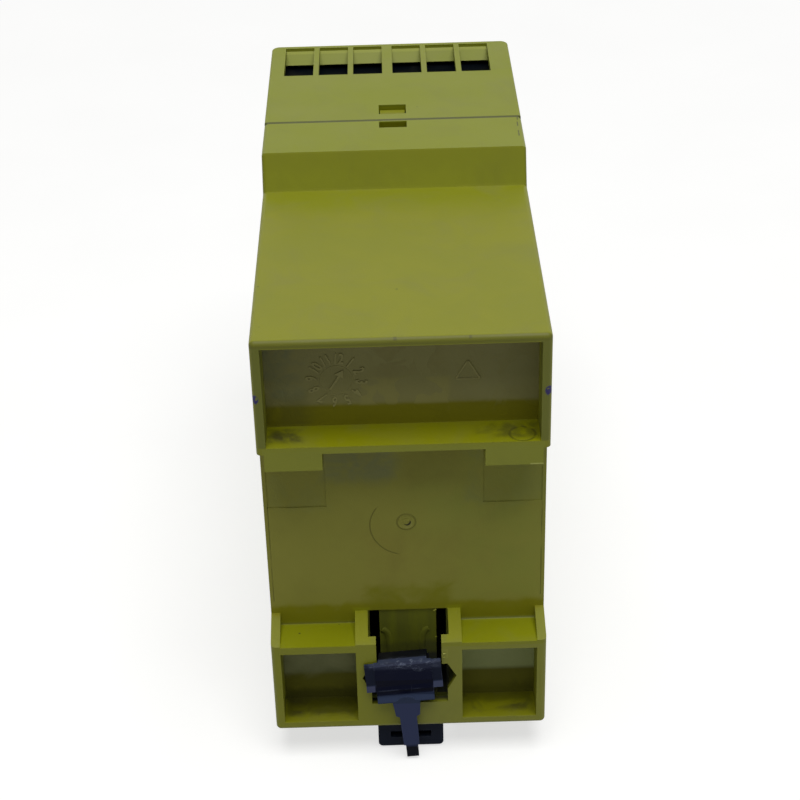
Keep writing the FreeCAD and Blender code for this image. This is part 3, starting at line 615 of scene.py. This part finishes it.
REAR_FINISH = moulded_plastic("rear moulding", OLIVE, OLIVE_CLOUD, OLIVE_WORN, 0.5, tint=rear_marks,
                              scratches=0.04, Specular_IOR_Level=0.3)
FRONT_FINISH = moulded_plastic("front moulding", OLIVE_FRONT, srgb(126, 132, 30), OLIVE_WORN, 0.5,
                               tint=front_marks, scratches=0.04, Specular_IOR_Level=0.3)
finishes = {
    "housing": FRONT_FINISH,
    "latch": moulded_plastic("latch moulding", LATCH_BLUE, srgb(34, 43, 65), LATCH_WORN, 0.42,
                             depth=0.000012, wear=0.3, smudge=0.05, dust=0.08, scratches=0.12,
                             tint=latch_marks, Specular_IOR_Level=0.05),
    "block": moulded_plastic("block moulding", BLOCK_BLACK, srgb(3, 6, 10), srgb(60, 60, 64), 0.5,
                             smudge=0.05, dust=0.03, scratches=0.03, Specular_IOR_Level=0.02),
    "clamp": plated_metal("zinc clamp", srgb(176, 176, 170)),
    "screw": plated_metal("zinc screw", srgb(188, 187, 180), 0.3, (400, 40, 400)),
    "tab": plated_metal("brass strip", srgb(206, 168, 96), 0.3),
    "board": printed_board("green laminate"),
    "relay_case": inner_part("relay case", srgb(222, 218, 205)),
    "core": inner_part("varnished laminations", srgb(74, 70, 66), 0.5, 0.6),
    "coil": inner_part("taped winding", srgb(160, 96, 42), 0.5),
    "can": plated_metal("aluminium can", srgb(196, 198, 202), 0.3),
    "film_case": inner_part("film capacitor case", srgb(200, 172, 60), 0.35),
    "varistor": inner_part("lacquered disc", srgb(52, 84, 150), 0.3),
    "fuse": inner_part("fuse tube", srgb(220, 214, 196), 0.4),
    "chip": inner_part("chip package", srgb(34, 34, 36), 0.5),
    "resistor": inner_part("resistor lacquer", srgb(176, 148, 108), 0.35),
    "led": inner_part("clear dome", srgb(216, 222, 214), 0.25),
    "guide": clear_guide("light guide"),
}

# every solid gets the finish of its slot, and the rear housing its own
for part in frame["record"]["subparts"]:
    thing = frame["nodes"][part["node"]]
    rear = part["node"] == "rear_housing"
    thing.data.materials.clear()
    thing.data.materials.append(REAR_FINISH if rear else finishes[part["material_slot"]])


# Raised marks that the mould left in the rear housing

def add_piece(name, bm, finish, smooth=True):
    """A mesh piece of the rear housing, in the frame's own coordinates."""
    for face in bm.faces:
        face.smooth = smooth
    mesh = bpy.data.meshes.new(name)
    bm.to_mesh(mesh)
    bm.free()
    mesh.materials.append(finish)
    piece = bpy.data.objects.new(name, mesh)
    bpy.context.scene.collection.objects.link(piece)
    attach(piece, "housing")


def ridge(bm, path, level, width, height, closed=False):
    """A low rounded ridge along a path of (x, z) points in millimetres, raised towards the rail."""
    section = [(-0.5, 0.0), (-0.32, 0.75), (0.0, 1.0), (0.32, 0.75), (0.5, 0.0)]
    rows = []
    count = len(path)
    for i, (x, z) in enumerate(path):
        before = path[i - 1] if closed or i else path[i]
        after = path[(i + 1) % count] if closed or i < count - 1 else path[i]
        along = Vector((after[0] - before[0], after[1] - before[1])).normalized()
        aside = Vector((-along.y, along.x))
        taper = 1.0 if closed or 0 < i < count - 1 else 0.45
        row = []
        for across, up in section:
            y = level + 0.05 - (0.05 + height * up) * taper
            row.append(bm.verts.new(((x + aside.x * across * width * taper) * MM, y * MM,
                                     (z + aside.y * across * width * taper) * MM)))
        rows.append(row)
    pairs = list(zip(rows, rows[1:])) + ([(rows[-1], rows[0])] if closed else [])
    for one, two in pairs:
        for k in range(len(section) - 1):
            bm.faces.new((one[k], one[k + 1], two[k + 1], two[k]))
    if not closed:
        bm.faces.new(rows[0][::-1])
        bm.faces.new(rows[-1])
    bmesh.ops.recalc_face_normals(bm, faces=bm.faces)


def smooth_path(points, steps=6):
    """Points of a soft curve through the given ones."""
    ends = [points[0]] + list(points) + [points[-1]]
    path = []
    for a, b, c, d in zip(ends, ends[1:], ends[2:], ends[3:]):
        for k in range(steps):
            t = k / steps
            path.append(tuple(0.5 * (2 * q + (r - p) * t + (2 * p - 5 * q + 4 * r - s) * t * t
                                     + (3 * q - p - 3 * r + s) * t ** 3)
                              for p, q, r, s in zip(a, b, c, d)))
    return path + [points[-1]]


def circle_path(x, z, radius, count=48):
    turns = [2 * math.pi * k / count for k in range(count)]
    return [(x + radius * math.cos(turn), z + radius * math.sin(turn)) for turn in turns]


def dial_numbers(x, z, radius, size):
    """The twelve numbers of a mould's month dial, standing round its centre."""
    bm = bmesh.new()
    for hour in range(1, 13):
        letters = bpy.data.curves.new("dial number", "FONT")
        letters.body = str(hour)
        letters.size = size * MM
        letters.extrude = 0.16 * MM
        letters.offset = 0.06 * MM
        letters.resolution_u = 3
        letters.align_x = "CENTER"
        letters.align_y = "CENTER"
        holder = bpy.data.objects.new("dial number", letters)
        flat = bpy.data.meshes.new_from_object(holder)
        turn = math.radians(30 * hour + 6)
        at = Vector((x + radius * math.sin(turn), 0.02, z + radius * math.cos(turn))) * MM
        flat.transform(Matrix.Translation(at) @ Matrix.Rotation(turn, 4, "Y")
                       @ Matrix.Rotation(math.radians(90), 4, "X") @ Matrix.Diagonal((0.68, 1, 1, 1)))
        bm.from_mesh(flat)
        bpy.data.objects.remove(holder)
        bpy.data.curves.remove(letters)
        bpy.data.meshes.remove(flat)
    return bm


def raised_outline(bm, outline, level, height):
    """A flat shape with upright sides, from an outline of (x, z) points in millimetres."""
    top = [bm.verts.new((x * MM, (level - height) * MM, z * MM)) for x, z in outline]
    foot = [bm.verts.new((x * MM, (level + 0.05) * MM, z * MM)) for x, z in outline]
    bm.faces.new(top)
    for k in range(len(outline)):
        n = (k + 1) % len(outline)
        bm.faces.new((top[k], foot[k], foot[n], top[n]))
    bmesh.ops.recalc_face_normals(bm, faces=bm.faces)


def month_dial():
    """Numbers, ring and arrow of the dial in the upper pocket."""
    x, z = -9.95, 26.9
    numbers = dial_numbers(x, z, radius=3.75, size=2.5)
    add_piece("month_dial_numbers", numbers, REAR_FINISH, False)
    bm = bmesh.new()
    ridge(bm, circle_path(x, z, 2.5), level=0, width=0.18, height=0.05, closed=True)
    aim = math.radians(32)
    arrow = [(-0.18, -1.9), (0.18, -1.9), (0.18, 0.8), (0.8, 0.8), (0, 2.1), (-0.8, 0.8), (-0.18, 0.8)]
    turned = [(x + a * math.cos(aim) + b * math.sin(aim), z - a * math.sin(aim) + b * math.cos(aim))
              for a, b in arrow]
    raised_outline(bm, turned, 0, 0.16)
    add_piece("month_dial_arrow", bm, REAR_FINISH, False)


def plain_triangle():
    """A rounded triangle where the mould has a sorting sign."""
    x, z, radius = 10.15, 27.6, 2.2
    corners = [(x + radius * math.cos(turn), z + radius * math.sin(turn))
               for turn in (math.radians(90), math.radians(210), math.radians(330))]
    path = []
    for k, corner in enumerate(corners):
        before, after = corners[k - 1], corners[(k + 1) % 3]
        for t in (0.28, 0.14, 0.05):
            path.append(tuple(c + (b - c) * t for c, b in zip(corner, before)))
        for t in (0.05, 0.14, 0.28):
            path.append(tuple(c + (a - c) * t for c, a in zip(corner, after)))
    bm = bmesh.new()
    ridge(bm, path, level=0, width=0.4, height=0.16, closed=True)
    add_piece("plain_triangle_sign", bm, REAR_FINISH)


def gate_mark():
    """Ring and torn-off stub where the plastic was let in."""
    bm = bmesh.new()
    ridge(bm, circle_path(0.15, 0, 1.3), level=0, width=0.45, height=0.07, closed=True)
    rows = []
    for radius, height in ((0.62, -0.03), (0.5, 0.08), (0.3, 0.12), (0.12, 0.06)):
        row = []
        for k in range(18):
            turn = 2 * math.pi * k / 18
            rough = 1 + 0.3 * lumps.noise(Vector((math.cos(turn) * 2, math.sin(turn) * 2, radius * 9)))
            row.append(bm.verts.new(((0.1 + radius * rough * math.cos(turn)) * MM, -height * rough * MM,
                                     (0.1 + radius * rough * math.sin(turn)) * MM)))
        rows.append(row)
    for one, two in zip(rows, rows[1:]):
        for k in range(18):
            n = (k + 1) % 18
            bm.faces.new((one[k], one[n], two[n], two[k]))
    bm.faces.new(rows[-1])
    bmesh.ops.recalc_face_normals(bm, faces=bm.faces)
    add_piece("gate_mark", bm, REAR_FINISH)


def channel_ribs():
    """Two low ribs on the floor of the latch channel."""
    bm = bmesh.new()
    for points in ([(-4.35, -21.9), (-3.6, -22.5), (-3.2, -24.2), (-3.05, -29.5)],
                   [(3.5, -21.9), (2.75, -22.5), (2.35, -24.2), (2.1, -29.5)]):
        ridge(bm, smooth_path(points), level=0.3, width=1.15, height=0.2)
    add_piece("channel_ribs", bm, REAR_FINISH)


def flash_bits():
    """Small torn bits of flash left at the corners of the latch opening."""
    bm = bmesh.new()
    for x, y, z, size in ((4.4, -0.15, -17.75, 0.34), (4.6, -4.9, -19.6, 0.2), (5.9, -6.4, -22.0, 0.3),
                          (-6.4, -6.3, -24.6, 0.22), (5.6, -6.35, -22.8, 0.18)):
        corners = [bm.verts.new(((x + rng.uniform(-1.2, 1.2) * size) * MM,
                                 (y - rng.uniform(-0.3, 0.6) * size) * MM,
                                 (z + rng.uniform(-0.6, 0.6) * size) * MM)) for _ in range(9)]
        bmesh.ops.convex_hull(bm, input=corners)
    loose = [v for v in bm.verts if not v.link_faces]
    bmesh.ops.delete(bm, geom=loose, context="VERTS")
    add_piece("flash_bits", bm, REAR_FINISH, False)


month_dial()
plain_triangle()
gate_mark()
channel_ribs()
flash_bits()


# Floor, lamps and camera

FLOOR_DROP = 0.05 * MM      # the floor lies this far under the lowest point
FLOOR_REACH = 3.0
FLOOR_GLOW = 0.66           # what the eye sees of the floor beside the lamp's light
FAR_GLOW = 0.3              # added where the lamp's light has faded
FADE_START, FADE_END = 0.2, 1.3
LAMP_PLACE = (0.05, -0.22, 0.95)
LAMP_TARGET = (0, 0.03, 0)
LAMP_SIZE = 0.7
LAMP_POWER = 8.4
ROOM_LIGHT = 0.14
PAPER_WHITE = 1.0


def lit_for_the_eye(g, strength):
    """Strength where the camera, a mirror or glass looks, and nothing for the object's own light."""
    rays = g.node("ShaderNodeLightPath")
    seen = g.largest([rays.outputs["Is Camera Ray"], rays.outputs["Is Glossy Ray"],
                      rays.outputs["Is Transmission Ray"]])
    return g.math("MULTIPLY", seen, strength)


def floor_plane(level, reach):
    mesh = bpy.data.meshes.new("floor")
    corners = [(-reach, -reach, level), (reach, -reach, level), (reach, reach, level),
               (-reach, reach, level)]
    mesh.from_pydata(corners, [], [(0, 1, 2, 3)])
    floor = bpy.data.objects.new("floor", mesh)
    bpy.context.scene.collection.objects.link(floor)
    material, g, shader = surface("pale floor", 0.9, Specular_IOR_Level=0.0)
    grain = g.noise(30.0, 3.0, 0.5, g.place())
    g.join(g.blend(grain, srgb(176, 176, 174), srgb(184, 184, 182)), shader.inputs["Base Color"])
    glow = g.node("ShaderNodeEmission")
    far = g.window(g.vector("LENGTH", g.place()), FADE_START, FADE_END)
    shown = g.math("MULTIPLY_ADD", far, FAR_GLOW, FLOOR_GLOW)
    g.join(lit_for_the_eye(g, shown), glow.inputs["Strength"])
    both = g.node("ShaderNodeAddShader")
    g.join(shader.outputs[0], both.inputs[0])
    g.join(glow.outputs[0], both.inputs[1])
    end = next(n for n in g.tree.nodes if n.type == "OUTPUT_MATERIAL")
    g.join(both.outputs[0], end.inputs[0])
    mesh.materials.append(material)


def soft_lamp(name, place, target, size, power):
    data = bpy.data.lights.new(name, "AREA")
    data.shape = "SQUARE"
    data.size = size
    data.energy = power
    lamp = bpy.data.objects.new(name, data)
    lamp.location = place
    lamp.rotation_euler = (Vector(target) - Vector(place)).to_track_quat("-Z", "Y").to_euler()
    bpy.context.scene.collection.objects.link(lamp)


def soft_room(light, shown):
    world = bpy.data.worlds.new("soft room")
    world.use_nodes = True
    g = Graph(world.node_tree)
    sky = next(n for n in world.node_tree.nodes if n.type == "BACKGROUND")
    sky.inputs["Color"].default_value = (1, 1, 1, 1)
    g.join(g.math("ADD", lit_for_the_eye(g, shown - light), light), sky.inputs["Strength"])
    bpy.context.scene.world = world


floor_plane(cad_box[0].z - FLOOR_DROP, FLOOR_REACH)
soft_lamp("overhead lamp", LAMP_PLACE, LAMP_TARGET, LAMP_SIZE, LAMP_POWER)
soft_room(ROOM_LIGHT, PAPER_WHITE)

lens = bpy.data.cameras.new("camera")
lens.sensor_width = 36.0
lens.lens = 85.527
lens.clip_start = 0.01
lens.clip_end = 20.0
camera = bpy.data.objects.new("camera", lens)
camera.location = (-0.0015, -0.249016, 0.176473)
camera.rotation_euler = (1.018257, 0.022828, -0.018813)
bpy.context.scene.collection.objects.link(camera)
bpy.context.scene.camera = camera
bpy.context.scene.view_settings.view_transform = "Standard"
